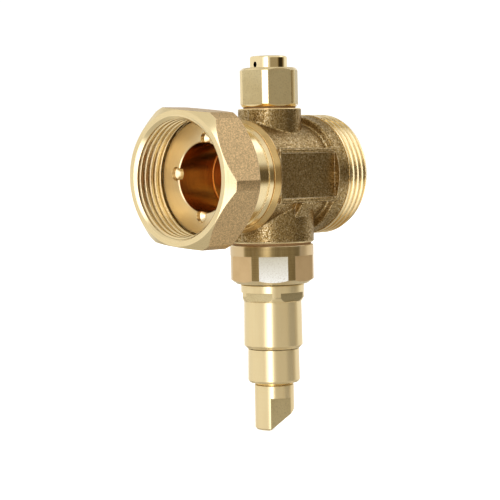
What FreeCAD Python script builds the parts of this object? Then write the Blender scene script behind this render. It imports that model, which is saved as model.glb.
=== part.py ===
import FreeCAD, Part
import math
import os
from FreeCAD import Vector

# Frost-protection valve for a G 1 1/4 water circuit, all sizes in millimetres.
# Frame: the origin is the crossing of the flow axis and the cartridge axis.
# +X (right) is the flow axis towards the male thread, -X (left) the union nut's end.
# +Z is up, towards the vacuum breaker; the thermostatic drain points down.
# In the names R is a radius, X, Y, Z are positions, and a TURN is a bearing in degrees.

ORIGIN = Vector(0, 0, 0)
X_AXIS = Vector(1, 0, 0)
Z_AXIS = Vector(0, 0, 1)
GAP = 0.02                        # play between pieces that meet

# ---------------------------------------------------------------- thread G 1 1/4
PITCH = 25.4 / 11.0
R_MAJOR = 41.91 / 2.0
R_MINOR = 38.952 / 2.0
CREST, ROOT = 0.72, 0.05          # land left on the crests, flat at the root
THREAD_OVERRUN = 0.25             # how far the groove tool stands past the crest

# ---------------------------------------------------------------- body casting
R_BARREL = 18.0
X_LEFT, R_LEFT = -17.5, 18.3      # machined left end of the body
X_RIM, R_RIM = -15.55, 19.3       # rim behind the machined cone
X_FLANGE, R_FLANGE = 11.9, 20.3
X_THREAD = 17.7
X_END = 28.0
X_BODY_GROOVE = 19.4              # the thread groove passes here on the -Y side
BODY_GROOVE_TURN = 200.0
R_TOP, Z_TOP = 10.9, 23.04        # top boss
R_LOW, Z_LOW = 14.62, -23.1       # bottom collar
CAST_RADIUS = 1.0
Y_CORE = 8.0                      # side features start here, inside the barrel
PAD_Y, PAD_FLOOR = 18.2, 18.0     # side pads, framed by a round bead
PAD_X0, PAD_X1 = -14.9, 12.3
PAD_Z, POCKET_Z = 9.25, 7.6
PAD_ROUND = 0.45
POCKET_X0, POCKET_X1 = -13.9, 13.1
POCKET_HEIGHT, POCKET_ROUND = 4.0, 0.5
BEAD_R, BEAD_Y, BEAD_Z = 0.8, 17.86, 8.43
BEAD_X0, BEAD_X1 = -14.0, 12.55
POST_R, POST_X, POST_Y = 0.5, -14.4, 18.06  # upright bead at the pad's left end
WEB_X0, WEB_WIDTH, WEB_ROUND = -3.7, 6.1, 0.7
FLASH_Y0, FLASH_Y1 = -0.3, 0.22
R_SOCKET, X_SOCKET = 15.6, -9.0   # bore that takes the tail's spigot
R_CHAMBER = 12.6
R_OUT_BORE = 15.4
R_TOP_BORE, Z_TOP_BORE = 7.6, 13.0
R_LOW_BORE, Z_LOW_BORE = 11.45, -16.8

# ---------------------------------------------------------------- union nut
NUT_FLAT = 22.57                  # centre to flat
NUT_R = 25.12                     # over the rounded corners
NUT_TURN = -5.99                  # the corner next to -Y sits this far from level
NUT_CHAMFER = 42.7                # chamfer angle in degrees
NUT_X0, NUT_LEFT_R = -45.53, 22.31
NUT_X1, NUT_RIGHT_R = -28.0, 20.8
NUT_LIP = 17.33
NUT_RELIEF, X_RELIEF = 21.15, -33.4
X_NUT_GROOVE = -43.9              # the thread groove passes here on the +Y side

# ---------------------------------------------------------------- union tail
X_SEAL, R_SEAL = -33.0, 19.35     # sealing face
X_FLANGE_BACK = -30.6
R_NECK = 17.25
X_RING, R_RING = -19.5, 18.1
R_BORE = 11.67
X_STEP, R_STEP = -16.8, 11.1      # the bore narrows here
R_SPIGOT = 15.55
TAIL_GROOVE = (-16.6, -14.7)
KEY_R, KEY_AT, KEY_DEEP = 2.3, 12.9, 2.2
KEY_TIP = 0.5                     # the conical tip starts this far short of KEY_DEEP
KEY_TURN = -6.0

# ---------------------------------------------------------------- vacuum breaker
VENT_AF = 19.0                    # across flats
VENT_R = 10.4
VENT_Z0, VENT_Z1 = 23.6, 37.0
VENT_TURN = 185.45                # bearing of one flat's normal, from +X
CAP_R, CAP_Z1 = 6.4, 41.1
CAP_FLAT, CAP_TURN = 5.5, 164.45
CAP_HOLE, CAP_HOLE_Z = 1.0, 38.2
VENT_BORE = 5.6
Z_VENT_SEAT = 31.0
R_SEAL_BORE = R_TOP_BORE + 0.75
RETAINER_Z0, RETAINER_Z1 = 16.4, 17.6
VENT_DISC_Z = 28.4                # underside of the poppet's disc

# ---------------------------------------------------------------- drain cartridge
COLLAR_R, COLLAR_Z0, COLLAR_Z1 = 14.48, -23.9, -37.3
COLLAR_FLATS_Z = -27.5            # the milled flats start here
COLLAR_FLAT, COLLAR_FLATS, COLLAR_TURN = 13.57, 7, 224.65
ELEMENT_LEDGE_Z = -20.4
CLIP_GROOVE = (-18.88, -17.72)
R_PIN, PIN_Z = 1.6, -30.6         # push pin and the top of the cup it stands on
RING_Z0, RING_Z1, RING_R = -37.9, -43.4, 11.0
RING_FLATS_Z = -40.3
RING_FLAT, RING_FLATS, RING_TURN = 9.6, 5, 194.15
SLEEVE_R, SLEEVE_Z1 = 10.1, -59.9
SLEEVE_GROOVE = (-33.4, -31.6)
SLEEVE_LEDGE_Z = -46.9
SEAT_Z = -44.6                    # flat top of the seat ring
DISC_Z0, DISC_Z1 = -42.4, -41.2   # the drain poppet's disc
CUP_LEDGE_Z = -34.6               # underside of the cup's flange
GUIDE_R, GUIDE_Z0, GUIDE_Z1 = 8.98, -60.1, -71.7
SPOUT_R, SPOUT_Z0, SPOUT_Z1 = 6.85, -72.6, -88.1
SPOUT_FLAT, SPOUT_FLAT_Z, SPOUT_TURN = 5.74, -77.0, 244.45
SPOUT_BORE, SPOUT_SHANK = 3.6, 5.5
SPOUT_GROOVE = (-67.2, -65.4)
SNAP_GROOVE = (-70.0, -69.0)      # shared by the guide sleeve and the spout
MOUTH_RISE, MOUTH_RUN, MOUTH_Z = 5.4, 7.6, -88.0

os.makedirs("parts", exist_ok=True)


# ================================================================ helpers
def unit(start, end):
    """direction from start to end, and the distance"""
    dx, dy = end[0] - start[0], end[1] - start[1]
    length = math.hypot(dx, dy)
    return dx / length, dy / length, length


def round_corner(before, corner, after):
    """start, middle and end of a corner's arc; the middle is None if it is sharp"""
    x, y = corner[:2]
    sharp = ((x, y), None, (x, y))
    radius = corner[2] if len(corner) > 2 else 0.0
    if radius <= 0.0:
        return sharp
    ax, ay, a_length = unit(corner, before)
    bx, by, b_length = unit(corner, after)
    angle = math.acos(max(-1.0, min(1.0, ax * bx + ay * by)))
    if angle > math.pi - 1e-3:
        return sharp
    # the arc may take up just under half of the shorter side
    reach = radius / math.tan(angle / 2.0)
    limit = 0.48 * min(a_length, b_length)
    if reach > limit:
        reach = limit
        radius = reach * math.tan(angle / 2.0)
    mx, my, _ = unit((0, 0), (ax + bx, ay + by))
    depth = radius / math.sin(angle / 2.0) - radius
    return ((x + ax * reach, y + ay * reach),
            (x + mx * depth, y + my * depth),
            (x + bx * reach, y + by * reach))


def rounded_wire(corners, place):
    """closed wire through (a, b[, radius]) corners; place(a, b) gives the 3D point"""
    count = len(corners)
    rounds = [round_corner(corners[i - 1], corners[i], corners[(i + 1) % count])
              for i in range(count)]
    edges = []
    for i, (start, middle, end) in enumerate(rounds):
        if middle is not None:
            edges.append(Part.Arc(place(*start), place(*middle), place(*end)).toShape())
        following = rounds[(i + 1) % count][0]
        if math.hypot(following[0] - end[0], following[1] - end[1]) > 1e-6:
            edges.append(Part.makeLine(place(*end), place(*following)))
    return Part.Wire(edges)


def outward(shape):
    """the same solid with its skin facing out"""
    if shape.Volume < 0:
        shape.reverse()
    return shape


def turned(profile, axis):
    """profile in the XZ plane turned about an axis"""
    face = Part.Face(rounded_wire(profile, lambda x, z: Vector(x, 0, z)))
    return outward(face.revolve(ORIGIN, axis, 360))


def turn_z(profile):
    """(radius, z[, corner radius]) profile turned about Z"""
    return turned(profile, Z_AXIS)


def turn_x(profile):
    """(x, radius[, corner radius]) profile turned about X"""
    return turned(profile, X_AXIS)


def ring_z(r_in, r_out, z0, z1):
    """flat ring about Z"""
    return turn_z([(r_in, z0), (r_out, z0), (r_out, z1), (r_in, z1)])


def cyl_z(radius, z0, z1, x=0.0, y=0.0):
    return Part.makeCylinder(radius, z1 - z0, Vector(x, y, z0), Z_AXIS)


def cyl_x(radius, x0, x1, y=0.0, z=0.0):
    return Part.makeCylinder(radius, x1 - x0, Vector(x0, y, z), X_AXIS)


def box(x0, x1, y0, y1, z0, z1):
    """box between limits given in either order"""
    corner = Vector(min(x0, x1), min(y0, y1), min(z0, z1))
    return Part.makeBox(abs(x1 - x0), abs(y1 - y0), abs(z1 - z0), corner)


def block_at(bearing, near, depth, half_width, z0, z1):
    """block from radius `near` outwards, facing a bearing about Z"""
    block = box(near, near + depth, -half_width, half_width, z0, z1)
    block.rotate(ORIGIN, Z_AXIS, bearing)
    return block


def mill_flats(blank, flat, count, bearing, z0, z1):
    """mill `count` flats at distance `flat`, the first facing `bearing`"""
    blocks = [block_at(bearing + i * 360.0 / count, flat, 12.0, 30.0, z0, z1)
              for i in range(count)]
    return blank.cut(Part.makeCompound(blocks))


def hex_prism(flat, corner_turn, place, sweep):
    """hexagonal prism, `flat` from centre to flat, its first corner at corner_turn"""
    radius = flat / math.cos(math.radians(30.0))
    corners = []
    for i in range(7):
        angle = math.radians(corner_turn + 60.0 * i)
        corners.append(place(radius * math.cos(angle), radius * math.sin(angle)))
    return Part.Face(Part.makePolygon(corners)).extrude(sweep)


def groove_thread(r_crest, r_root, x_start, x_stop, bearing):
    """right-hand helical groove about X from x_start to x_stop, from a land at
    r_crest to r_root; it starts at `bearing` degrees from -Z towards +Y"""
    wide = PITCH - CREST
    helix = Part.makeLongHelix(PITCH, x_stop - x_start, r_root)
    over = THREAD_OVERRUN if r_crest > r_root else -THREAD_OVERRUN
    # the flanks run on with the same slope, past the land
    extra = abs(over) * (wide - ROOT) / 2.0 / abs(r_crest - r_root)
    half = wide / 2 + extra
    section = Part.makePolygon([
        Vector(r_root, 0, -ROOT / 2), Vector(r_crest + over, 0, -half),
        Vector(r_crest + over, 0, half), Vector(r_root, 0, ROOT / 2),
        Vector(r_root, 0, -ROOT / 2)])
    tool = Part.Wire(helix).makePipeShell([section], True, True)
    tool.rotate(ORIGIN, Vector(0, 1, 0), 90)
    tool.rotate(ORIGIN, X_AXIS, bearing)
    tool.translate(Vector(x_start, 0, 0))
    return outward(tool)


def spring_z(r_mean, r_wire, z0, z1, turns):
    """helical spring about Z between the planes z0 < z1"""
    rise = z1 - z0 - 2 * r_wire
    helix = Part.makeHelix(rise / turns, rise, r_mean)
    circle = Part.Wire(Part.makeCircle(r_wire, Vector(r_mean, 0, 0), Vector(0, 1, 0)))
    coil = helix_sweep = Part.Wire(helix).makePipeShell([circle], True, True)
    coil.translate(Vector(0, 0, z0 + r_wire))
    return coil


def o_ring(r_mean, r_section, groove, axis=Z_AXIS):
    """round-section ring centred in a groove, given by its two walls on the axis"""
    return Part.makeTorus(r_mean, r_section, axis * (sum(groove) / 2.0), axis)


def write(name, shape):
    """export a piece, unwrapped to its solid where it has just one"""
    if shape.ShapeType != "Solid" and len(shape.Solids) == 1:
        shape = shape.Solids[0]
    outward(shape).exportStep("parts/%s.step" % name)


# ================================================================ body
def body_core():
    """barrel, machined left rim, right flange and the male thread"""
    core = turn_x([
        (X_LEFT, 0.0), (X_LEFT, R_LEFT, 0.25), (X_RIM, R_RIM, 0.35),
        (X_RIM + 0.65, R_RIM - 0.05, 0.3), (X_RIM + 1.15, R_BARREL, 0.4),
        (X_FLANGE, R_BARREL, 0.9), (X_FLANGE + 0.75, R_FLANGE, 0.8),
        (15.6, R_FLANGE, 1.5), (X_THREAD - 0.2, 20.72, 0.15), (X_THREAD - 0.05, R_MINOR),
        (X_THREAD, R_MINOR), (X_THREAD, R_MAJOR), (X_END - 1.1, R_MAJOR),
        (X_END, R_MINOR - 0.25, 0.15), (X_END, 0.0)])
    # -Y is at bearing 270
    x_start = X_BODY_GROOVE - PITCH * (270.0 - BODY_GROOVE_TURN) / 360.0
    return core.cut(groove_thread(R_MAJOR, R_MINOR, x_start, X_END + 1.6, BODY_GROOVE_TURN))


def body_cross():
    """top boss and drafted bottom collar, with cast radii where they leave the barrel"""
    top = turn_z([(0, 0), (R_TOP, 0), (R_TOP, Z_TOP, 0.45), (0, Z_TOP)])
    low = turn_z([(0, 0), (R_LOW + 0.35, 0), (R_LOW + 0.2, -17.0), (R_LOW, Z_LOW + 0.5),
                  (R_LOW - 0.35, Z_LOW), (0, Z_LOW)])
    cross = cyl_x(R_BARREL + 0.02, -30.0, 30.0).fuse([top, low])
    seams = [e for e in cross.Edges
             if e.Curve.TypeId not in ("Part::GeomLine", "Part::GeomCircle")]
    cross = cross.makeFillet(CAST_RADIUS, seams)
    return cross.common(box(-15.3, 15.1, -40, 40, -40, 40))


def side_pad(side):
    """raised pad with its outer rim rounded"""
    face_y = side * PAD_Y
    pad = box(PAD_X0, PAD_X1, side * Y_CORE, face_y, -PAD_Z, PAD_Z)
    rim = [e for e in pad.Edges if abs(e.BoundBox.YMin - face_y) < 1e-3
           and abs(e.BoundBox.YMax - face_y) < 1e-3]
    return pad.makeFillet(PAD_ROUND, rim)


def side_web(side):
    """web from the pad's lower edge to the bottom collar"""
    # (y, z[, corner radius])
    outline = [(side * Y_CORE, -8.0), (side * 18.45, -8.0), (side * 18.25, -9.6, 1.2),
               (side * 14.3, -14.6, 0.8), (side * Y_CORE, -15.5)]
    wire = rounded_wire(outline, lambda y, z: Vector(WEB_X0, y, z))
    web = Part.Face(wire).extrude(Vector(WEB_WIDTH, 0, 0))
    outer = [e for e in web.Edges if e.BoundBox.XLength < 1e-3
             and abs(e.BoundBox.YMax + e.BoundBox.YMin) / 2 > 11 and e.BoundBox.ZMin < -8.2]
    # the web stays square-edged if its outer edges can't be rounded
    try:
        return web.makeFillet(WEB_ROUND, outer)
    except Exception:
        return web


def side_pocket(side):
    """shallow pocket in the pad, with rounded corners"""
    pocket = box(POCKET_X0, POCKET_X1, side * PAD_FLOOR, side * (PAD_FLOOR + POCKET_HEIGHT),
                 -POCKET_Z, POCKET_Z)
    deep = [e for e in pocket.Edges if e.BoundBox.YLength > 0.5]
    return pocket.makeFillet(POCKET_ROUND, deep)


def make_body():
    solid = body_core().fuse(body_cross())
    for side in (-1, 1):
        solid = solid.fuse(side_pad(side))
        solid = solid.fuse(side_web(side))
        solid = solid.cut(side_pocket(side))
        for z in (-BEAD_Z, BEAD_Z):
            bar = cyl_x(BEAD_R, BEAD_X0, BEAD_X1, side * BEAD_Y, z)
            ball = Part.makeSphere(BEAD_R, Vector(BEAD_X0, side * BEAD_Y, z))
            solid = solid.fuse(bar.fuse(ball))
        solid = solid.fuse(cyl_z(POST_R, -BEAD_Z, BEAD_Z, POST_X, side * POST_Y))
    # flash line left where the two mould halves met, in the plane y = 0
    for side in (-1, 1):
        solid = solid.fuse(box(side * (R_TOP - 1.0), side * (R_TOP + 0.16),
                               FLASH_Y0, FLASH_Y1, 14.0, Z_TOP - 0.9))
        solid = solid.fuse(box(side * (R_LOW - 1.0), side * (R_LOW + 0.4),
                               FLASH_Y0, FLASH_Y1, Z_LOW + 1.0, -14.0))
    # flow passage: socket for the tail, chamber, outlet bore
    passage = turn_x([
        (X_LEFT - 1, 0), (X_LEFT - 1, R_SOCKET + 0.7), (X_LEFT, R_SOCKET + 0.7),
        (X_LEFT + 0.7, R_SOCKET), (X_SOCKET, R_SOCKET), (X_SOCKET, R_CHAMBER),
        (13.0, R_CHAMBER, 2.0), (16.0, R_OUT_BORE, 2.0), (X_END - 0.5, R_OUT_BORE),
        (X_END + 0.5, R_OUT_BORE + 1.0), (X_END + 0.5, 0)])
    top_hole = turn_z([
        (0, 5.0), (R_TOP_BORE - 2.0, 5.0), (R_TOP_BORE - 2.0, Z_TOP_BORE),
        (R_TOP_BORE, Z_TOP_BORE), (R_TOP_BORE, Z_TOP - 0.6),
        (R_TOP_BORE + 0.7, Z_TOP + 0.1), (0, Z_TOP + 0.1)])
    low_hole = turn_z([
        (0, -5.0), (9.0, -5.0), (9.0, Z_LOW_BORE), (R_LOW_BORE, Z_LOW_BORE),
        (R_LOW_BORE, Z_LOW + 0.6), (R_LOW_BORE + 0.5, Z_LOW - 0.1), (0, Z_LOW - 0.1)])
    return solid.cut(passage).cut(top_hole).cut(low_hole)


write("body", make_body())


# ================================================================ union nut and tail
def make_union_nut():
    slope = math.tan(math.radians(NUT_CHAMFER))
    x_left_corner = NUT_X0 + (NUT_R - NUT_LEFT_R) * slope
    x_right_corner = NUT_X1 - (NUT_R - NUT_RIGHT_R) * slope
    x_lip = X_FLANGE_BACK + 0.05
    blank = turn_x([
        (NUT_X0, R_MINOR + 1.15, 0.12), (NUT_X0, NUT_LEFT_R, 0.3), (x_left_corner, NUT_R),
        (x_right_corner, NUT_R), (NUT_X1, NUT_RIGHT_R, 0.3), (NUT_X1, NUT_LIP, 0.2),
        (x_lip, NUT_LIP), (x_lip, NUT_RELIEF, 0.5), (X_RELIEF + 0.3, NUT_RELIEF),
        (X_RELIEF - 0.4, R_MINOR), (NUT_X0 + 1.0, R_MINOR)])
    # corner bearings run from +Z towards +Y
    prism = hex_prism(NUT_FLAT, -90.0 + NUT_TURN, lambda z, y: Vector(-60.0, y, z),
                      Vector(60.0, 0, 0))
    nut = blank.common(prism)
    # bearing 90 is +Y; the groove starts two turns before its reference point
    return nut.cut(groove_thread(R_MINOR, R_MAJOR, X_NUT_GROOVE - 2.0 * PITCH,
                                 X_RELIEF + 1.1, 90.0))


def make_union_tail():
    groove_x0, groove_x1 = TAIL_GROOVE
    tail = turn_x([
        (X_SEAL, R_BORE + 0.4), (X_SEAL, R_SEAL, 0.25), (X_FLANGE_BACK, R_SEAL, 0.2),
        (X_FLANGE_BACK, R_NECK), (X_RING, R_NECK, 0.2), (X_RING + 0.15, 17.65, 0.15),
        (X_LEFT - 0.25, R_RING, 0.15), (X_LEFT, R_RING - 0.25), (X_LEFT, 15.5),
        (groove_x0, 15.5), (groove_x0, 14.0), (groove_x1, 14.0), (groove_x1, R_SPIGOT),
        (X_SOCKET - 0.8, R_SPIGOT), (X_SOCKET - 0.1, 14.9), (X_SOCKET - 0.1, R_STEP),
        (X_STEP, R_STEP, 0.2), (X_STEP - 0.1, R_BORE), (X_SEAL + 0.35, R_BORE)])
    # four round key notches with conical tips, for the assembly spanner
    x_tip = X_SEAL + KEY_DEEP - KEY_TIP
    for i in range(4):
        angle = math.radians(90.0 * i + KEY_TURN)
        y, z = KEY_AT * math.sin(angle), KEY_AT * math.cos(angle)
        drill = cyl_x(KEY_R, X_SEAL - 1.0, x_tip, y, z)
        tip = Part.makeCone(KEY_R, KEY_R - 1.5, 1.0, Vector(x_tip, y, z), X_AXIS)
        tail = tail.cut(drill.fuse(tip))
    return tail


write("union_nut", make_union_nut())
write("union_tail", make_union_tail())
write("tail_o_ring", o_ring(14.8, 0.78, TAIL_GROOVE, X_AXIS))


# ================================================================ vacuum breaker
def make_vent_housing():
    r_plug = R_TOP_BORE - GAP
    blank = turn_z([
        (0, 13.2), (R_TOP_BORE - 0.7, 13.2), (r_plug, 13.9), (r_plug, 22.2),
        (R_TOP_BORE - 0.5, 22.6), (R_TOP_BORE - 0.5, VENT_Z0), (9.3, VENT_Z0, 0.1),
        (VENT_R, VENT_Z0 + 0.95), (VENT_R, VENT_Z1 - 1.0), (9.1, VENT_Z1, 0.15),
        (0, VENT_Z1)])
    blank = blank.common(hex_prism(VENT_AF / 2.0, VENT_TURN + 30.0,
                                   lambda x, y: Vector(x, y, 10.0), Vector(0, 0, 30.0)))
    hollow = turn_z([
        (0, 13.0), (VENT_BORE, 13.0), (VENT_BORE, 27.5), (VENT_BORE, Z_VENT_SEAT),
        (2.6, Z_VENT_SEAT, 0.2), (2.6, 33.0), (5.0, 33.0), (5.0, VENT_Z1 - 0.3),
        (5.4, VENT_Z1 + 0.1), (0, VENT_Z1 + 0.1)])
    return blank.cut(hollow)


def make_vent_cap():
    """cap with two flats, a cross hole and a bore from below"""
    cap = turn_z([
        (0, 33.3), (4.4, 33.3), (4.98, 33.9), (4.98, VENT_Z1 + GAP),
        (CAP_R, VENT_Z1 + GAP, 0.1), (CAP_R, VENT_Z1 + 0.3), (CAP_R, CAP_Z1, 0.75),
        (0, CAP_Z1)])
    z_flat = VENT_Z1 + 0.25
    for bearing in (CAP_TURN, CAP_TURN + 180.0):
        cap = cap.cut(block_at(bearing, CAP_FLAT, 4.0, 10.0, z_flat, z_flat + 10.0))
    angle = math.radians(CAP_TURN)
    across = Vector(math.cos(angle), math.sin(angle), 0)
    start = Vector(0, 0, CAP_HOLE_Z) - across * 10.0
    cap = cap.cut(Part.makeCylinder(CAP_HOLE, 20.0, start, across))
    return cap.cut(cyl_z(2.0, 30.0, 39.0))


def make_vent_poppet():
    """disc under the seat, its stem guided by the drilled retainer below"""
    return turn_z([
        (0, 15.2), (1.2, 15.2), (1.5, 15.5), (1.5, VENT_DISC_Z), (4.3, VENT_DISC_Z, 0.1),
        (4.3, 29.6, 0.15), (1.6, 29.6), (1.6, 30.4), (2.1, 30.55), (2.1, 30.9, 0.15),
        (0, 30.9)])


def make_vent_seal():
    return turn_z([
        (1.62, 29.6), (4.1, 29.6), (4.1, 30.36, 0.2), (3.3, 30.97, 0.1),
        (2.3, 30.97, 0.1), (2.3, 30.5), (1.62, 30.36)])


def make_vent_retainer():
    disc = ring_z(1.56, VENT_BORE - 0.01, RETAINER_Z0, RETAINER_Z1)
    for i in range(4):
        angle = math.radians(45.0 + 90.0 * i)
        disc = disc.cut(cyl_z(0.95, 16.0, 18.0, 4.2 * math.cos(angle), 4.2 * math.sin(angle)))
    return disc


write("vent_housing", make_vent_housing())
write("vent_cap", make_vent_cap())
write("vent_housing_seal", ring_z(R_SEAL_BORE, 9.0, Z_TOP + 0.01, VENT_Z0 - 0.01))
write("vent_poppet", make_vent_poppet())
write("vent_seal", make_vent_seal())
write("vent_spring", spring_z(3.2, 0.3, RETAINER_Z1 + GAP, VENT_DISC_Z - GAP, 7.0))
write("vent_spring_retainer", make_vent_retainer())


# ================================================================ drain cartridge
def make_cartridge_collar():
    clip_z0, clip_z1 = CLIP_GROOVE
    blank = turn_z([
        (8.7, Z_LOW_BORE - 0.3), (R_LOW_BORE - 0.7, Z_LOW_BORE - 0.3),
        (R_LOW_BORE - GAP, Z_LOW_BORE - 1.0), (R_LOW_BORE - GAP, Z_LOW + 0.9),
        (R_LOW_BORE - 0.5, Z_LOW + 0.5), (R_LOW_BORE - 0.5, COLLAR_Z0),
        (COLLAR_R - 0.25, COLLAR_Z0), (COLLAR_R, COLLAR_Z0 - 0.25), (COLLAR_R, -35.75),
        (12.4, COLLAR_Z1, 0.1), (10.2, COLLAR_Z1), (10.2, COLLAR_Z1 + 0.6),
        (9.6, COLLAR_Z1 + 0.6), (9.6, -29.0), (7.4, -29.0), (7.4, ELEMENT_LEDGE_Z),
        (8.7, ELEMENT_LEDGE_Z), (8.7, clip_z0), (9.3, clip_z0), (9.3, clip_z1),
        (8.7, clip_z1)])
    return mill_flats(blank, COLLAR_FLAT, COLLAR_FLATS, COLLAR_TURN, COLLAR_FLATS_Z, -45.0)


def make_wax_element():
    """capsule standing in the flow, flange with four water slots, guide nose below"""
    r_hole = R_PIN + GAP
    z_flange = ELEMENT_LEDGE_Z + GAP
    z_shoulder = CLIP_GROOVE[0] - GAP
    element = turn_z([
        (0, -18.2), (r_hole, -18.2), (r_hole, -27.0), (3.1, -27.0, 0.4), (3.1, z_flange),
        (8.65, z_flange), (8.65, z_shoulder), (5.9, z_shoulder, 0.3), (5.9, -6.0),
        (5.3, -5.2, 0.4), (5.3, 1.5), (4.6, 4.0, 1.6), (0, 4.0)])
    for i in range(4):
        element = element.cut(block_at(45.0 + 90.0 * i, 5.95, 3.2, 1.8, -22.0, -18.0))
    return element


def make_element_clip():
    ring = ring_z(7.2, 9.22, CLIP_GROOVE[0] + 0.03, CLIP_GROOVE[1] - 0.03)
    return ring.cut(box(0, 12, -1.3, 1.3, -20, -17))


def make_thermostat_sleeve():
    groove_z0, groove_z1 = SLEEVE_GROOVE
    blank = turn_z([
        (7.0, -29.1), (8.9, -29.1), (9.55, -29.7), (9.55, groove_z1), (8.3, groove_z1),
        (8.3, groove_z0), (9.55, groove_z0), (9.55, COLLAR_Z1 + 0.5),
        (9.2, COLLAR_Z1 + 0.2), (9.2, RING_Z0 + 0.3), (RING_R - 0.25, RING_Z0 + 0.3),
        (RING_R, RING_Z0 + 0.05), (RING_R - 0.12, -42.2), (SLEEVE_R + 0.1, RING_Z1, 0.15),
        (SLEEVE_R - 0.1, RING_Z1 - 0.15), (SLEEVE_R + 0.1, SLEEVE_Z1 + 1.15),
        (9.1, SLEEVE_Z1, 0.1), (7.42, SLEEVE_Z1), (7.42, -49.0), (5.4, -49.0),
        (5.4, SLEEVE_LEDGE_Z), (7.0, SLEEVE_LEDGE_Z)])
    return mill_flats(blank, RING_FLAT, RING_FLATS, RING_TURN, RING_FLATS_Z, RING_Z1 + 0.05)


def make_drain_seat():
    """seat ring pressed into the sleeve, with a raised conical lip"""
    z_base = SLEEVE_LEDGE_Z + GAP
    return turn_z([
        (3.0, z_base), (6.98, z_base), (6.98, SEAT_Z, 0.2), (4.3, SEAT_Z),
        (3.7, -43.62, 0.12), (3.0, -43.9)])


def make_drain_poppet():
    """disc above the seat, with a spigot for the cup above"""
    return turn_z([
        (0, -43.0), (1.9, -43.0), (1.9, DISC_Z0), (5.4, DISC_Z0, 0.15),
        (5.4, DISC_Z1, 0.15), (2.4, DISC_Z1), (2.4, -36.6, 0.3), (0, -36.6)])


def make_drain_poppet_seal():
    z_top = DISC_Z0 - GAP
    return turn_z([(1.95, -43.58), (5.0, -43.58, 0.2), (5.0, z_top), (1.95, z_top)])


def make_cup():
    return turn_z([
        (0, PIN_Z), (3.1, PIN_Z, 0.3), (3.1, -33.2), (6.7, -33.2, 0.2),
        (6.7, CUP_LEDGE_Z, 0.2), (3.0, CUP_LEDGE_Z), (3.0, -37.2), (2.42, -37.2),
        (2.42, -34.2), (0, -34.2)])


def make_push_pin():
    return turn_z([
        (0, PIN_Z + GAP), (1.2, PIN_Z + GAP), (R_PIN, -30.2), (R_PIN, -21.6),
        (1.3, -21.1), (0, -21.1)])


def make_guide_sleeve():
    snap_z0, snap_z1 = SNAP_GROOVE
    return turn_z([
        (7.0, -49.4), (7.4, -49.8), (7.4, SLEEVE_Z1), (7.4, GUIDE_Z0),
        (GUIDE_R - 0.1, GUIDE_Z0, 0.1), (GUIDE_R + 0.05, GUIDE_Z1 + 0.75),
        (GUIDE_R - 0.55, GUIDE_Z1, 0.1), (5.55, GUIDE_Z1), (5.55, snap_z0),
        (6.05, snap_z0), (6.05, snap_z1), (5.55, snap_z1), (5.55, -62.6), (4.0, -62.6),
        (4.0, -55.0), (5.8, -53.0), (5.8, -49.4)])


def make_spout():
    """tube with a milled flat and a slanted mouth"""
    groove_z0, groove_z1 = SPOUT_GROOVE
    snap_z0, snap_z1 = SNAP_GROOVE
    spout = turn_z([
        (SPOUT_BORE, -62.9), (5.0, -62.9), (SPOUT_SHANK, -63.4), (SPOUT_SHANK, groove_z1),
        (4.3, groove_z1), (4.3, groove_z0), (SPOUT_SHANK, groove_z0),
        (SPOUT_SHANK, snap_z1), (4.98, snap_z1), (4.98, snap_z0), (SPOUT_SHANK, snap_z0),
        (SPOUT_SHANK, SPOUT_Z0), (SPOUT_R - 0.15, SPOUT_Z0), (SPOUT_R, SPOUT_Z0 - 0.2),
        (SPOUT_R, SPOUT_Z1 + 0.55), (SPOUT_R - 0.5, SPOUT_Z1), (SPOUT_BORE, SPOUT_Z1)])
    spout = spout.cut(block_at(SPOUT_TURN, SPOUT_FLAT, 6.0, 10.0,
                               SPOUT_FLAT_Z - 20.0, SPOUT_FLAT_Z))
    # the mouth rises along the flat's tangent, a quarter turn past its normal
    wedge = box(-30.0, 30.0, -20.0, 20.0, -30.0, 0.0)
    wedge.rotate(ORIGIN, Vector(0, 1, 0), -math.degrees(math.atan2(MOUTH_RISE, MOUTH_RUN)))
    wedge.translate(Vector(-MOUTH_RUN / 2.0, 0, MOUTH_Z))
    wedge.rotate(ORIGIN, Z_AXIS, SPOUT_TURN + 90.0)
    return spout.cut(wedge)


def make_snap_ring():
    return o_ring(5.52, 0.46, SNAP_GROOVE).cut(box(0, 8, -1.0, 1.0, -71, -68))


def make_spout_washer():
    """washer between the guide sleeve and the spout's shoulder"""
    z_top, z_low = GUIDE_Z1 - 0.08, SPOUT_Z0 + 0.08
    return turn_z([(5.56, z_top), (6.6, z_top, 0.1), (6.6, z_low, 0.1), (5.56, z_low)])


write("cartridge_collar", make_cartridge_collar())
write("collar_seal", ring_z(R_LOW_BORE + 0.55, 13.7, Z_LOW - 0.01, COLLAR_Z0 + 0.01))
write("wax_element", make_wax_element())
write("element_clip", make_element_clip())
write("thermostat_sleeve", make_thermostat_sleeve())
write("sleeve_o_ring", o_ring(8.95, 0.62, SLEEVE_GROOVE))
write("drain_seat", make_drain_seat())
write("drain_poppet", make_drain_poppet())
write("drain_poppet_seal", make_drain_poppet_seal())
write("overtravel_spring", spring_z(3.55, 0.35, DISC_Z1 + GAP, CUP_LEDGE_Z - GAP, 4.5))
write("spring_cup", make_cup())
write("push_pin", make_push_pin())
write("return_spring", spring_z(6.1, 0.35, SEAT_Z + GAP, CUP_LEDGE_Z - GAP, 5.0))
write("guide_sleeve", make_guide_sleeve())
write("spout", make_spout())
write("spout_o_ring", o_ring(4.92, 0.58, SPOUT_GROOVE))
write("spout_retaining_ring", make_snap_ring())
write("spout_washer", make_spout_washer())
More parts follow.
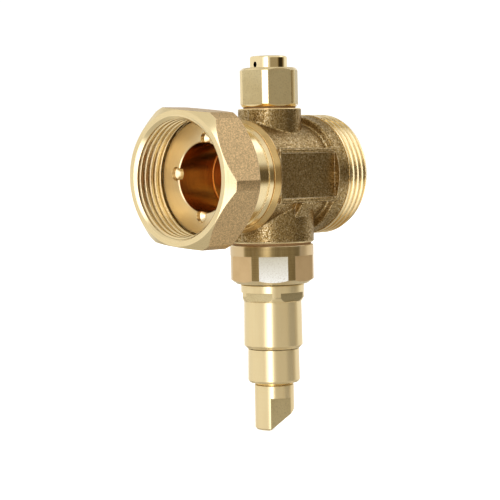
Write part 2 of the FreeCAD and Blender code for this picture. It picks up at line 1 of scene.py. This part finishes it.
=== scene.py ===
"""Brass valve, in metres with +Z up, its run lying along X.

The body's male thread is at +X and the union nut and tail at -X. The vent stands on top;
the cartridge collar, the sleeves and the spout hang below. The camera is on the -X -Y side.
This script gives the CAD pieces their materials and adds the studio, floor and camera.
"""

import math

import bmesh
import bpy
from mathutils import Matrix, Vector


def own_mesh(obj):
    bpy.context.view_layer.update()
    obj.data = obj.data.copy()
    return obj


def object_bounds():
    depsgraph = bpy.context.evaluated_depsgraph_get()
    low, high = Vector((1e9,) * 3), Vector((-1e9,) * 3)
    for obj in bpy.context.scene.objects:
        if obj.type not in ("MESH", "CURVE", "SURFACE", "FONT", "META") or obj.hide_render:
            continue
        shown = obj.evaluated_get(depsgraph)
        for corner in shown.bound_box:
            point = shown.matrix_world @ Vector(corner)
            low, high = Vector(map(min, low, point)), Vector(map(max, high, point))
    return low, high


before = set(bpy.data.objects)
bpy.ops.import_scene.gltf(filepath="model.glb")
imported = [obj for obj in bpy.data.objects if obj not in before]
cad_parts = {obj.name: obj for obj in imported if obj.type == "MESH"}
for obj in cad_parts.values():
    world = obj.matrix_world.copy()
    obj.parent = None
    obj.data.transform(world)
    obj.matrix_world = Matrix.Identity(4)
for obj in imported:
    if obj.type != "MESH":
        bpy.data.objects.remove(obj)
CAD_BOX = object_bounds()

MM = 0.001
PER_M = 1000.0                      # millimetres in a metre
DEGREES = 180.0 / math.pi           # degrees in a radian
X_AXIS = (1.0, 0.0, 0.0)
Z_AXIS = (0.0, 0.0, 1.0)

AZIMUTH = math.radians(43.449)      # heading of the view, from +X towards +Y
ELEVATION = math.radians(3.229)
ROLL = math.radians(-1.057)
TO_CAMERA = (-math.cos(AZIMUTH), -math.sin(AZIMUTH), 0.0)    # level directions
TO_RIGHT = (math.sin(AZIMUTH), -math.cos(AZIMUTH), 0.0)

# ---------------------------------------------------------------- colours
BRIGHT = (0.90, 0.765, 0.49)        # freshly cut brass
WARM = (0.80, 0.60, 0.31)           # the same, handled and slightly tarnished
RUBBED = (0.97, 0.88, 0.68)         # edges worn bright
CAST = (0.46, 0.325, 0.14)          # oxidised sand-cast skin
CAST_DARK = (0.13, 0.075, 0.020)
CAST_LIGHT = (0.80, 0.70, 0.49)
FORGED = (0.66, 0.50, 0.29)         # shot-blasted forged skin
FORGED_EDGE = (0.88, 0.74, 0.5)
MILLED = (0.74, 0.635, 0.40)
MILLED_LOW = (0.60, 0.48, 0.26)
OLIVE = (0.40, 0.30, 0.145)         # dark olive, painted as shade where the collar band faces the camera
COPPERY = (0.74, 0.42, 0.11)        # orange brass painted into a deep bore as the shade of light bouncing inside it
WHITE = (1.0, 1.0, 1.0)


def shade(color, factor):
    return tuple(channel * factor for channel in color)


# ---------------------------------------------------------------- shader formulas
class Value:
    """A shader socket with arithmetic, so that a shader reads as a formula."""

    def __init__(self, graph, socket):
        self.graph = graph
        self.socket = socket

    def calc(self, operation, *others, clamp=False):
        inputs = dict(enumerate((self,) + others))
        return self.graph.add("Math", inputs, operation=operation, use_clamp=clamp)

    def __add__(self, other):
        return self.calc("ADD", other)

    __radd__ = __add__

    def __sub__(self, other):
        return self.calc("SUBTRACT", other)

    def __rsub__(self, number):
        start = self.graph.add("Value")
        start.socket.default_value = number
        return start - self

    def __mul__(self, other):
        return self.calc("MULTIPLY", other)

    def abs(self):
        return self.calc("ABSOLUTE")

    def asin(self):
        return self.calc("ARCSINE")

    def sqrt(self):
        return self.calc("SQRT")

    def atan2(self, other):
        return self.calc("ARCTAN2", other)

    def max(self, other):
        return self.calc("MAXIMUM", other)

    def min(self, other):
        return self.calc("MINIMUM", other)

    def clamp(self):
        return self.calc("ADD", 0.0, clamp=True)

    def mm(self):
        """Metres to millimetres."""
        return self * PER_M

    def swing(self, amount):
        """A 0 to 1 value centred on zero, with `amount` as its whole range."""
        return (self - 0.5) * amount

    def step(self, off, on):
        """0 at `off`, 1 at `on` and smooth between; falls when off > on."""
        inputs = {
            "Value": self,
            "From Min": min(off, on),
            "From Max": max(off, on),
            "To Min": 0.0 if off <= on else 1.0,
            "To Max": 1.0 if off <= on else 0.0,
        }
        return self.graph.add("MapRange", inputs, "Result", interpolation_type="SMOOTHSTEP")

    def ramp(self, off, on):
        """0 at `off`, 1 at `on` and straight between."""
        inputs = {"Value": self, "From Min": off, "From Max": on}
        return self.graph.add("MapRange", inputs, "Result")

    def band(self, start, end, soft):
        """1 between `start` and `end`, fading over `soft` either side of each."""
        return (self.step(off=start - soft, on=start + soft)
                * self.step(off=end + soft, on=end - soft))

    def split(self):
        node = self.graph.add("SeparateXYZ", {0: self}).socket.node
        return tuple(Value(self.graph, socket) for socket in node.outputs)

    def vector(self, operation, other=None, out=0):
        return self.graph.vector(operation, self, other, out=out)

    def dot(self, other):
        return self.vector("DOT_PRODUCT", other, out="Value")

    def stretch(self, x, y, z):
        return self.vector("MULTIPLY", (x, y, z))

    def noise(self, scale, detail=3.0, rough=0.5, out=0):
        inputs = {"Vector": self, "Scale": scale, "Detail": detail, "Roughness": rough}
        return self.graph.add("TexNoise", inputs, out)

    def line_noise(self, scale, rough):
        """Noise along one dimension."""
        inputs = {"W": self, "Scale": scale, "Detail": 2.0, "Roughness": rough}
        return self.graph.add("TexNoise", inputs, noise_dimensions="1D")

    def speckle(self, scale):
        """A random value for each cell of a Voronoi pattern."""
        return self.graph.add("TexVoronoi", {"Vector": self, "Scale": scale}, "Color").split()[0]

    def mix(self, low, high, amount=None):
        """Colour `low` where this is 0 and `high` where it is 1, scaled by `amount`."""
        factor = self if amount is None else self * amount
        return self.graph.add("Mix", {0: factor, 6: low, 7: high}, out=2, data_type="RGBA")

    def mix_number(self, low, high):
        return self.graph.add("Mix", {0: self, 2: low, 3: high}, data_type="FLOAT")

    def mix_shader(self, low, high):
        return self.graph.add("MixShader", {0: self, 1: low, 2: high})

    def bump(self, depth_mm, bevel_mm=None):
        """Normal of this height, over edges rounded by `bevel_mm`."""
        under = None if bevel_mm is None else self.graph.bevel(bevel_mm)
        return self.graph.add("Bump", {"Distance": depth_mm * MM, "Height": self, "Normal": under})


class Graph:
    """An emptied node tree and the nodes that start a formula."""

    def __init__(self, tree):
        self.tree = tree
        tree.nodes.clear()

    def plug(self, socket, value):
        if isinstance(value, Value):
            self.tree.links.new(value.socket, socket)
        elif isinstance(value, tuple):
            alpha = (1.0,) if len(socket.default_value) == 4 else ()
            socket.default_value = value + alpha
        else:
            socket.default_value = value

    def add(self, kind, inputs=None, out=0, **settings):
        """Make a node and give its output `out`; inputs of None are left alone."""
        node = self.tree.nodes.new("ShaderNode" + kind)
        for name, setting in settings.items():
            setattr(node, name, setting)
        for key, value in (inputs or {}).items():
            if value is not None:
                self.plug(node.inputs[key], value)
        return Value(self, node.outputs[out])

    def finish(self, kind, shader):
        self.plug(self.tree.nodes.new(kind).inputs["Surface"], shader)

    def coords(self, kind="Object"):
        return self.add("TexCoord", out=kind)

    def geometry(self, name):
        return self.add("NewGeometry", out=name)

    def vector(self, operation, first, second=None, scale=None, out=0):
        inputs = {0: first, 1: second, "Scale": scale}
        return self.add("VectorMath", inputs, out, operation=operation)

    def bevel(self, radius_mm):
        return self.add("Bevel", {"Radius": radius_mm * MM}, samples=4)

    def across_marks(self, axis, place):
        """Tangent across the feed marks: along a turned wall, radial on a turned face."""
        ring = self.vector("CROSS_PRODUCT", axis, place).vector("NORMALIZE")
        ring = self.add("VectorTransform", {0: ring}, vector_type="VECTOR",
                        convert_from="OBJECT", convert_to="WORLD")
        return self.geometry("Normal").vector("CROSS_PRODUCT", ring).vector("NORMALIZE")

    def facing(self):
        """Cosine between the surface normal and the line of sight."""
        node = self.geometry("Normal").socket.node
        normal, incoming = (Value(self, node.outputs[name]) for name in ("Normal", "Incoming"))
        return normal.dot(incoming).abs()

    def edge(self, width_mm):
        """0 on open faces, 1 on edges."""
        cosine = self.bevel(width_mm).dot(self.geometry("Normal"))
        return cosine.step(off=0.995, on=0.90)

    def metal(self, color, rough, normal, metallic=1.0, aniso=None, tangent=None):
        inputs = {
            "Base Color": color,
            "Roughness": rough,
            "Metallic": metallic,
            "Normal": normal,
            "Anisotropic": aniso,
            "Tangent": tangent,
        }
        return self.add("BsdfPrincipled", inputs)

    def matt(self, color, rough, normal):
        return self.metal(color, rough, normal, metallic=0.0)


def radius(first, second):
    return (first * first + second * second).sqrt()


# ---------------------------------------------------------------- brass surfaces
def feed_distance(place, axis):
    """Millimetres across the feed marks, along walls and outwards on end faces."""
    x, y, z = place.split()
    along, out = (x, radius(y, z)) if axis == X_AXIS else (z, radius(x, y))
    return (along + out).mm()


def feed_marks(feed, pitch_mm):
    return feed.line_noise(scale=1.0 / pitch_mm, rough=0.6)


def turned(graph, place, axis, rough=0.33, aniso=0.93, pitch_mm=0.10, depth_mm=0.0016,
           stain=0.10, bevel_mm=0.12, base=BRIGHT, low=WARM, streak=0.12):
    """Lathe-cut brass with fine feed marks round `axis`.

    `stain` and `streak` set how far clouds and wiped streaks turn `base` into `low`.
    """
    feed = feed_distance(place, axis)
    fine = feed_marks(feed, pitch_mm)
    coarse = feed.line_noise(scale=1.3, rough=0.5)
    cloud = place.noise(scale=90.0, rough=0.55)
    # streaks are drawn out along the part
    along, across = 40.0, 700.0
    stretch = (along, across, across) if axis == X_AXIS else (across, across, along)
    wipe = place.stretch(*stretch).noise(scale=1.0, rough=0.6)
    pores = place.noise(scale=1900.0, rough=0.7).step(off=0.62, on=0.80)
    # weights of the fine and coarse marks in the height
    normal = (fine * 0.8 + coarse * 0.5).bump(depth_mm, bevel_mm)
    # weights of the clouds and the coarse marks in the stain
    tarnish = cloud.step(off=0.35, on=0.75) * 0.6 + coarse.step(off=0.3, on=0.8) * 0.4
    tarnish = tarnish * stain + wipe.step(off=0.42, on=0.75) * streak
    color = tarnish.clamp().mix(base, low)
    color = pores.mix(color, shade(low, 0.55), amount=0.18)
    color = graph.edge(bevel_mm).mix(color, RUBBED, amount=0.35)
    rough = rough + fine.swing(0.05) + cloud.swing(0.06)
    return graph.metal(color, rough, normal, aniso=aniso,
                       tangent=graph.across_marks(axis, place))


def milled(graph, place):
    """Satin milled flat with faint cutter marks and pores."""
    arcs = place.stretch(420.0, 420.0, 5200.0).noise(scale=1.0, rough=0.6)
    fine = place.noise(scale=2100.0, rough=0.7)
    # weights of the cutter marks and the grain in the height
    normal = (arcs * 0.4 + fine * 0.8).bump(depth_mm=0.004, bevel_mm=0.12)
    cloud = place.noise(scale=140.0, rough=0.55)
    color = cloud.step(off=0.3, on=0.8).mix(MILLED, MILLED_LOW, amount=0.35)
    color = fine.step(off=0.45, on=0.75).mix(color, shade(MILLED_LOW, 0.62), amount=0.35)
    color = graph.edge(0.12).mix(color, RUBBED, amount=0.4)
    return graph.metal(color, cloud.swing(0.08) + 0.42, normal)


def sand_cast(graph, place):
    """Pitted grain, with dark oxide in the pits and bright rubbed peaks."""
    per_grain = PER_M / 0.23        # grain size in millimetres
    drift = place.noise(scale=2600.0, detail=2.0, out="Color")
    warped = place.vector("ADD", graph.vector("SCALE", drift, scale=0.0005))
    speck = warped.speckle(per_grain * 0.95)
    small = place.noise(scale=per_grain * 0.62, rough=0.62)
    large = place.noise(scale=per_grain * 0.20, rough=0.55)
    broad = place.noise(scale=110.0)
    # weights of the grain sizes, first in the height and then in the tone
    normal = (small + large * 0.45).bump(depth_mm=0.034, bevel_mm=0.30)
    tone = small + speck * 0.5 + large * 0.35
    peaks = tone.step(off=0.98, on=1.22)
    pits = tone.step(off=0.90, on=0.66)
    color = pits.mix(CAST, CAST_DARK, amount=0.90)
    color = peaks.mix(color, CAST_LIGHT, amount=0.88)
    color = broad.step(off=0.35, on=0.75).mix(color, shade(CAST, 0.66), amount=0.25)
    # edges painted light as a highlight
    color = graph.edge(0.45).mix(color, CAST_LIGHT, amount=0.75)
    # pits are rougher and peaks smoother than the 0.38 between
    rough = pits * 0.18 + 0.38 - peaks * 0.08
    return graph.metal(color, rough, normal)


def blasted(graph, place):
    """Shot-blasted forging with a fine even sparkle."""
    per_grain = PER_M / 0.24        # grain size in millimetres
    speck = place.speckle(per_grain * 0.85)
    grain = place.noise(scale=per_grain * 0.62, detail=2.0, rough=0.65)
    normal = grain.bump(depth_mm=0.022, bevel_mm=0.25)
    tone = grain + speck * 0.45     # weight of the speckle
    color = tone.step(off=0.50, on=0.98).mix(shade(FORGED, 0.80), shade(FORGED, 1.25))
    broad = place.noise(scale=80.0)
    color = broad.step(off=0.4, on=0.8).mix(color, shade(FORGED, 0.8), amount=0.10)
    color = graph.edge(0.3).mix(color, FORGED_EDGE, amount=0.5)
    return graph.metal(color, grain.swing(0.12) + 0.40, normal)


# ---------------------------------------------------------------- materials
# limits inside step() are millimetres wherever a place on the part is tested
def body_surface(graph):
    """Sand-cast skin, machined at the ends, bores and bosses."""
    place = graph.coords()
    x, y, z = (side.mm() for side in place.split())
    from_x = radius(y, z)
    from_z = radius(x, y)
    # the cut lines wander by a share of this, in millimetres
    wobble = place.noise(scale=500.0, detail=2.0).swing(0.5)
    thread = (x + wobble * 0.2).step(off=17.15, on=17.45)
    union_end = (x + wobble * 0.15).step(off=-15.15, on=-15.3)
    bores = from_x.step(off=16.9, on=16.6)
    top = (z + wobble * 0.1).step(off=22.62, on=22.72)
    foot = (z + wobble * 0.1).step(off=-22.62, on=-22.72)
    top_hole = from_z.step(off=8.5, on=8.3) * z.step(off=12.0, on=12.4)
    foot_hole = from_z.step(off=11.9, on=11.7) * z.step(off=-16.2, on=-16.6)
    holes = top_hole.max(foot_hole)
    machined = thread.max(union_end).max(bores).max(top).max(foot).max(holes)
    cast = sand_cast(graph, place)
    cut = turned(graph, place, X_AXIS, rough=0.22, aniso=0.8, pitch_mm=0.12, depth_mm=0.002,
                 stain=0.35, bevel_mm=0.22, low=(0.74, 0.52, 0.24), streak=0.05)
    cone = turned(graph, place, X_AXIS, rough=0.24, aniso=0.8, pitch_mm=0.2, depth_mm=0.006,
                  stain=0.6, base=(0.76, 0.58, 0.30), low=(0.52, 0.34, 0.13), streak=0.05)
    cut = (union_end * from_x.step(off=16.8, on=17.0)).mix_shader(cut, cone)
    return machined.mix_shader(cast, cut)


def nut_surface(graph):
    """Forged outside, turned on the end faces and inside."""
    place = graph.coords()
    from_x = radius(*(side.mm() for side in place.split()[1:]))
    end_face = graph.coords("Normal").split()[0].abs().step(off=0.22, on=0.34)
    machined = end_face.max(from_x.step(off=21.6, on=21.4))
    skin = blasted(graph, place)
    cut = turned(graph, place, X_AXIS, rough=0.24, aniso=0.85, pitch_mm=0.11, depth_mm=0.002,
                 stain=0.2, bevel_mm=0.20, streak=0.04)
    return machined.mix_shader(skin, cut)


def tail_surface(graph):
    """Bright neck, satin rim towards -X and painted orange shade in the bore."""
    place = graph.coords()
    x, y, z = place.split()
    from_x = radius(y.mm(), z.mm())
    rim = turned(graph, place, X_AXIS, rough=0.30, aniso=0.9, pitch_mm=0.12, depth_mm=0.0012,
                 stain=0.2, streak=0.0, base=(0.90, 0.77, 0.52), low=(0.76, 0.58, 0.33))
    neck = turned(graph, place, X_AXIS, rough=0.20, aniso=0.8, pitch_mm=0.15, depth_mm=0.003,
                  stain=0.35, streak=0.05)
    # painted shade: the bore is coloured orange and darker for light bouncing inside it
    bore = turned(graph, place, X_AXIS, rough=0.26, aniso=0.7, pitch_mm=0.15, depth_mm=0.002,
                  stain=0.8, streak=0.3, base=COPPERY, low=(0.50, 0.22, 0.045))
    on_neck = from_x.step(off=16.8, on=17.1) * x.mm().step(off=-32.4, on=-32.2)
    in_bore = from_x.step(off=12.0, on=11.8) * x.mm().step(off=-32.9, on=-32.5)
    return in_bore.mix_shader(on_neck.mix_shader(rim, neck), bore)


def flats_mask(graph, place, bottom, top, reach):
    """1 on walls between two heights and within `reach` of Z, all in millimetres."""
    soft = 0.02
    x, y, z = (side.mm() for side in place.split())
    upright = graph.coords("Normal").split()[2].abs().step(off=0.3, on=0.15)
    return (z.step(off=bottom, on=bottom + soft) * z.step(off=top, on=top - soft)
            * upright * radius(x, y).step(off=reach, on=reach - soft))


def z_turned_surface(graph, flats=None, **cut):
    """Turned about Z, with milled flats where `flats` has flats_mask's limits."""
    place = graph.coords()
    surface = turned(graph, place, Z_AXIS, **cut)
    if flats is None:
        return surface
    return flats_mask(graph, place, **flats).mix_shader(surface, milled(graph, place))


def collar_surface(graph):
    """Coarsely turned band with seven milled flats, its shade and sheen painted by viewing angle.
    """
    place = graph.coords()
    face = graph.facing()
    fine = feed_marks(feed_distance(place, Z_AXIS), pitch_mm=0.28)
    cloud = place.noise(scale=220.0, rough=0.6)
    grain = place.noise(scale=2300.0, rough=0.7)
    wipe = place.stretch(900.0, 900.0, 60.0).noise(scale=1.0, rough=0.6)
    # painted dark shade for where the band faces the camera, carrying the wiped streaks, feed
    # marks and grain
    painted_shade_and_marks = wipe.step(off=0.35, on=0.7).mix(OLIVE, (0.56, 0.45, 0.25), amount=0.5)
    painted_shade_and_marks = fine.step(off=0.45, on=0.7).mix(painted_shade_and_marks, (0.24, 0.165, 0.065), amount=0.35)
    painted_shade_and_marks = grain.step(off=0.5, on=0.75).mix(painted_shade_and_marks, (0.25, 0.17, 0.07), amount=0.35)
    # painted sheen where seen aslant, over painted dark shade where seen square on; edges worn
    # bright and end faces lighter
    painted_sheen_and_wear = face.step(off=0.78, on=0.71).mix(painted_shade_and_marks, (0.80, 0.64, 0.40))
    painted_sheen_and_wear = graph.edge(0.15).mix(painted_sheen_and_wear, RUBBED, amount=0.5)
    level = graph.coords("Normal").split()[2].abs().step(off=0.35, on=0.5)
    painted_sheen_and_wear = level.mix(painted_sheen_and_wear, (0.90, 0.78, 0.53))
    # weights of the feed marks and the grain in the height
    normal = (fine * 0.9 + grain * 0.4).bump(depth_mm=0.010, bevel_mm=0.12)
    cut = graph.metal(painted_sheen_and_wear, cloud * 0.06 + 0.34, normal, aniso=0.92,
                      tangent=graph.across_marks(Z_AXIS, place))
    # painted reflection: flats are silvery, paler towards the bottom, seen square on, and tan seen
    # aslant
    height = place.split()[2].mm().ramp(off=-36.5, on=-28.0)
    painted_reflection_silver = height.mix((0.88, 0.86, 0.79), (0.66, 0.62, 0.50))
    painted_reflection_silver = grain.step(off=0.46, on=0.74).mix(painted_reflection_silver, (0.56, 0.50, 0.38), amount=0.6)
    tan = cloud.step(off=0.35, on=0.7).mix((0.78, 0.60, 0.36), (0.66, 0.49, 0.27), amount=0.3)
    flat = graph.metal(face.step(off=0.90, on=0.97).mix(tan, painted_reflection_silver), rough=0.46,
                       normal=grain.bump(depth_mm=0.006, bevel_mm=0.12))
    mask = flats_mask(graph, place, bottom=-36.9, top=-27.55, reach=14.46)
    return mask.mix_shader(cut, flat)


def polished_surface(graph):
    place = graph.coords()
    smear = place.noise(scale=160.0, rough=0.55)
    hair = place.stretch(900.0, 900.0, 9000.0).noise(scale=1.0, detail=2.0, rough=0.6)
    color = smear.step(off=0.4, on=0.8).mix((0.93, 0.80, 0.52), WARM, amount=0.25)
    return graph.metal(color, rough=smear * 0.06 + 0.06,
                       normal=hair.bump(depth_mm=0.0008, bevel_mm=0.10))


def steel_surface(graph):
    place = graph.coords()
    drawn = place.noise(scale=2600.0, rough=0.6)
    cloud = place.noise(scale=200.0, detail=2.0)
    color = cloud.mix((0.62, 0.61, 0.60), (0.50, 0.49, 0.48))
    return graph.metal(color, rough=drawn * 0.12 + 0.22, normal=drawn.bump(depth_mm=0.003))


def copper_surface(graph):
    place = graph.coords()
    cloud = place.noise(scale=180.0, detail=4.0, rough=0.6)
    grain = place.noise(scale=3000.0, detail=2.0)
    color = cloud.step(off=0.3, on=0.8).mix((0.87, 0.52, 0.33), (0.60, 0.31, 0.17))
    return graph.metal(color, rough=cloud * 0.15 + 0.22,
                       normal=grain.bump(depth_mm=0.003, bevel_mm=0.15))


def rubber_surface(graph):
    place = graph.coords()
    grain = place.noise(scale=2200.0, rough=0.6)
    bloom = place.noise(scale=260.0).step(off=0.4, on=0.8)
    color = bloom.mix((0.016, 0.016, 0.017), (0.05, 0.05, 0.052), amount=0.5)
    return graph.matt(color, rough=grain * 0.15 + 0.55, normal=grain.bump(depth_mm=0.01))


def fibre_surface(graph):
    place = graph.coords()
    fibres = place.stretch(1500.0, 1500.0, 6000.0).noise(scale=1.0, detail=4.0, rough=0.7)
    color = fibres.step(off=0.3, on=0.7).mix((0.34, 0.19, 0.085), (0.54, 0.37, 0.19))
    return graph.matt(color, rough=0.75, normal=fibres.bump(depth_mm=0.02))


def material(name, surface, **options):
    made = bpy.data.materials.new(name)
    made.use_nodes = True
    graph = Graph(made.node_tree)
    graph.finish("ShaderNodeOutputMaterial", surface(graph, **options))
    return made


# each material and the parts that wear it
FINISHES = [
    (material("cast_brass", body_surface), ["body"]),
    (material("forged_brass", nut_surface), ["union_nut"]),
    (material("turned_brass_tail", tail_surface), ["union_tail"]),
    (material("turned_brass_vent", z_turned_surface, rough=0.22, aniso=0.8, stain=0.15,
              flats=dict(bottom=24.4, top=36.2, reach=10.38)), ["vent_housing"]),
    (material("turned_brass_collar", collar_surface), ["cartridge_collar"]),
    (material("turned_brass_sleeve", z_turned_surface,
              flats=dict(bottom=-43.3, top=-40.35, reach=10.9)), ["thermostat_sleeve"]),
    (material("turned_brass", z_turned_surface), ["guide_sleeve"]),
    (material("turned_brass_spout", z_turned_surface, stain=0.2,
              flats=dict(bottom=-90.0, top=-77.0, reach=6.8)), ["spout"]),
    (material("turned_brass_washer", z_turned_surface, rough=0.25,
              base=(0.80, 0.58, 0.26), low=(0.62, 0.38, 0.12)), ["spout_washer"]),
    (material("polished_brass", polished_surface), ["vent_cap"]),
    (material("spring_steel", steel_surface),
     ["vent_spring", "return_spring", "overtravel_spring", "element_clip",
      "spout_retaining_ring", "push_pin"]),
    (material("copper_capsule", copper_surface), ["wax_element"]),
    (material("black_rubber", rubber_surface),
     ["tail_o_ring", "sleeve_o_ring", "spout_o_ring", "drain_poppet_seal", "vent_seal"]),
    (material("fibre_gasket", fibre_surface), ["vent_housing_seal", "collar_seal"]),
]
finish_of = {part: finish for finish, parts in FINISHES for part in parts}
for name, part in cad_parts.items():
    part.data.materials.clear()
    # parts not listed are plain turned brass, like the guide sleeve
    part.data.materials.append(finish_of.get(name, finish_of["guide_sleeve"]))
    for polygon in part.data.polygons:
        polygon.material_index = 0


# ---------------------------------------------------------------- studio dome
def studio_light(graph):
    """Brightness by direction; the camera itself sees plain white. Angles in degrees."""
    direction = graph.coords("Generated").vector("NORMALIZE")
    ahead = direction.dot(TO_CAMERA)
    side = direction.dot(TO_RIGHT)
    height = direction.split()[2]
    turn = side.atan2(ahead) * DEGREES      # 0 towards the camera, + to its right
    rise = height.max(-1.0).min(1.0).asin() * DEGREES
    apart = turn.abs()
    # general level: above, just below and far below the horizon
    level = rise.step(off=-6.0, on=-16.0).mix_number(0.97, 1.06)
    level = rise.step(off=-36.0, on=-54.0).mix_number(level, 0.66)
    # dimmer low and high behind the valve, and overhead
    behind_low = apart.step(off=116.0, on=140.0) * rise.step(off=-10.0, on=-26.0)
    level = behind_low.mix_number(level, 0.60)
    behind_high = apart.step(off=122.0, on=148.0) * rise.step(off=20.0, on=34.0)
    level = behind_high.mix_number(level, 0.70)
    level = rise.step(off=52.0, on=66.0).mix_number(level, 0.82)
    # dark panel on the right and its darker core, with the share of light each takes
    panel = rise.band(-13.0, 18.0, soft=5.0) * turn.band(6.0, 112.0, soft=8.0)
    level = level * (1.0 - panel * 0.52)
    core = rise.band(-9.0, 11.0, soft=4.0) * turn.band(62.0, 98.0, soft=8.0)
    level = level * (1.0 - core * 0.85)
    # upright strip left of the camera and a high patch on the right, with added strengths
    strip = turn.step(off=-44.0, on=-14.0) * turn.step(off=-3.0, on=-9.0)
    strip = strip * rise.band(-50.0, 55.0, soft=6.0)
    patch = turn.band(98.0, 138.0, soft=6.0) * rise.band(35.0, 50.0, soft=3.0)
    level = level + strip * 1.5 + patch * 0.8
    # bluish where bright, amber where dark
    tint = level.step(off=0.7, on=1.6).mix((1.0, 0.99, 0.96), (1.0, 1.03, 1.14))
    tint = level.step(off=0.75, on=0.12).mix(tint, (1.0, 0.78, 0.42))
    dome = graph.add("Background", {"Color": tint, "Strength": level})
    white = graph.add("Background", {"Color": WHITE, "Strength": 1.06})
    return graph.add("LightPath", out="Is Camera Ray").mix_shader(dome, white)


scene = bpy.context.scene
world = bpy.data.worlds.new("studio")
scene.world = world
world.use_nodes = True
world_graph = Graph(world.node_tree)
world_graph.finish("ShaderNodeOutputWorld", studio_light(world_graph))


# ---------------------------------------------------------------- floor
FLOOR_RADIUS = 4.0
FLOOR_GAP = 0.0004      # below the lowest point of the valve


def floor_surface(graph):
    """Pale from above, clear from underneath so that the outlet's mouth shows."""
    glow = graph.add("Emission", {"Color": WHITE, "Strength": 0.85})
    matt = graph.add("BsdfDiffuse", {"Color": (0.5, 0.5, 0.5)})
    top = graph.add("AddShader", {0: glow, 1: matt})
    under = graph.add("BsdfTransparent")
    return graph.geometry("Backfacing").mix_shader(top, under)


disc = bmesh.new()
bmesh.ops.create_circle(disc, cap_ends=True, radius=FLOOR_RADIUS, segments=96)
floor_mesh = bpy.data.meshes.new("floor")
disc.to_mesh(floor_mesh)
disc.free()
floor = bpy.data.objects.new("floor", floor_mesh)
scene.collection.objects.link(floor)
floor.location = (0, 0, CAD_BOX[0][2] - FLOOR_GAP)
floor_mesh.materials.append(material("pale_floor", floor_surface))
floor.visible_glossy = False
floor.visible_diffuse = False

# ---------------------------------------------------------------- camera
back = Vector((-math.cos(AZIMUTH) * math.cos(ELEVATION),
               -math.sin(AZIMUTH) * math.cos(ELEVATION), math.sin(ELEVATION)))
level_right = (-back).cross(Vector(Z_AXIS)).normalized()
level_up = level_right.cross(-back)
right = level_right * math.cos(ROLL) + level_up * math.sin(ROLL)
up = -level_right * math.sin(ROLL) + level_up * math.cos(ROLL)
# shift right, shift up and distance from the origin
camera_at = right * -0.007126 + up * -0.02585 + back * 0.6066

lens = bpy.data.cameras.new("camera")
lens.sensor_width = 36.0
lens.lens = 126.04464
lens.clip_start = 0.01
lens.clip_end = 50.0
camera = bpy.data.objects.new("camera", lens)
scene.collection.objects.link(camera)
camera.matrix_world = Matrix((right, up, back, camera_at)).transposed().to_4x4() if False else (
    Matrix([(*row, place) for row, place in zip(zip(right, up, back), camera_at)]
           + [(0, 0, 0, 1)]))
scene.camera = camera

scene.view_settings.view_transform = "Standard"
scene.view_settings.look = "None"
scene.view_settings.exposure = 0.0
scene.view_settings.gamma = 0.75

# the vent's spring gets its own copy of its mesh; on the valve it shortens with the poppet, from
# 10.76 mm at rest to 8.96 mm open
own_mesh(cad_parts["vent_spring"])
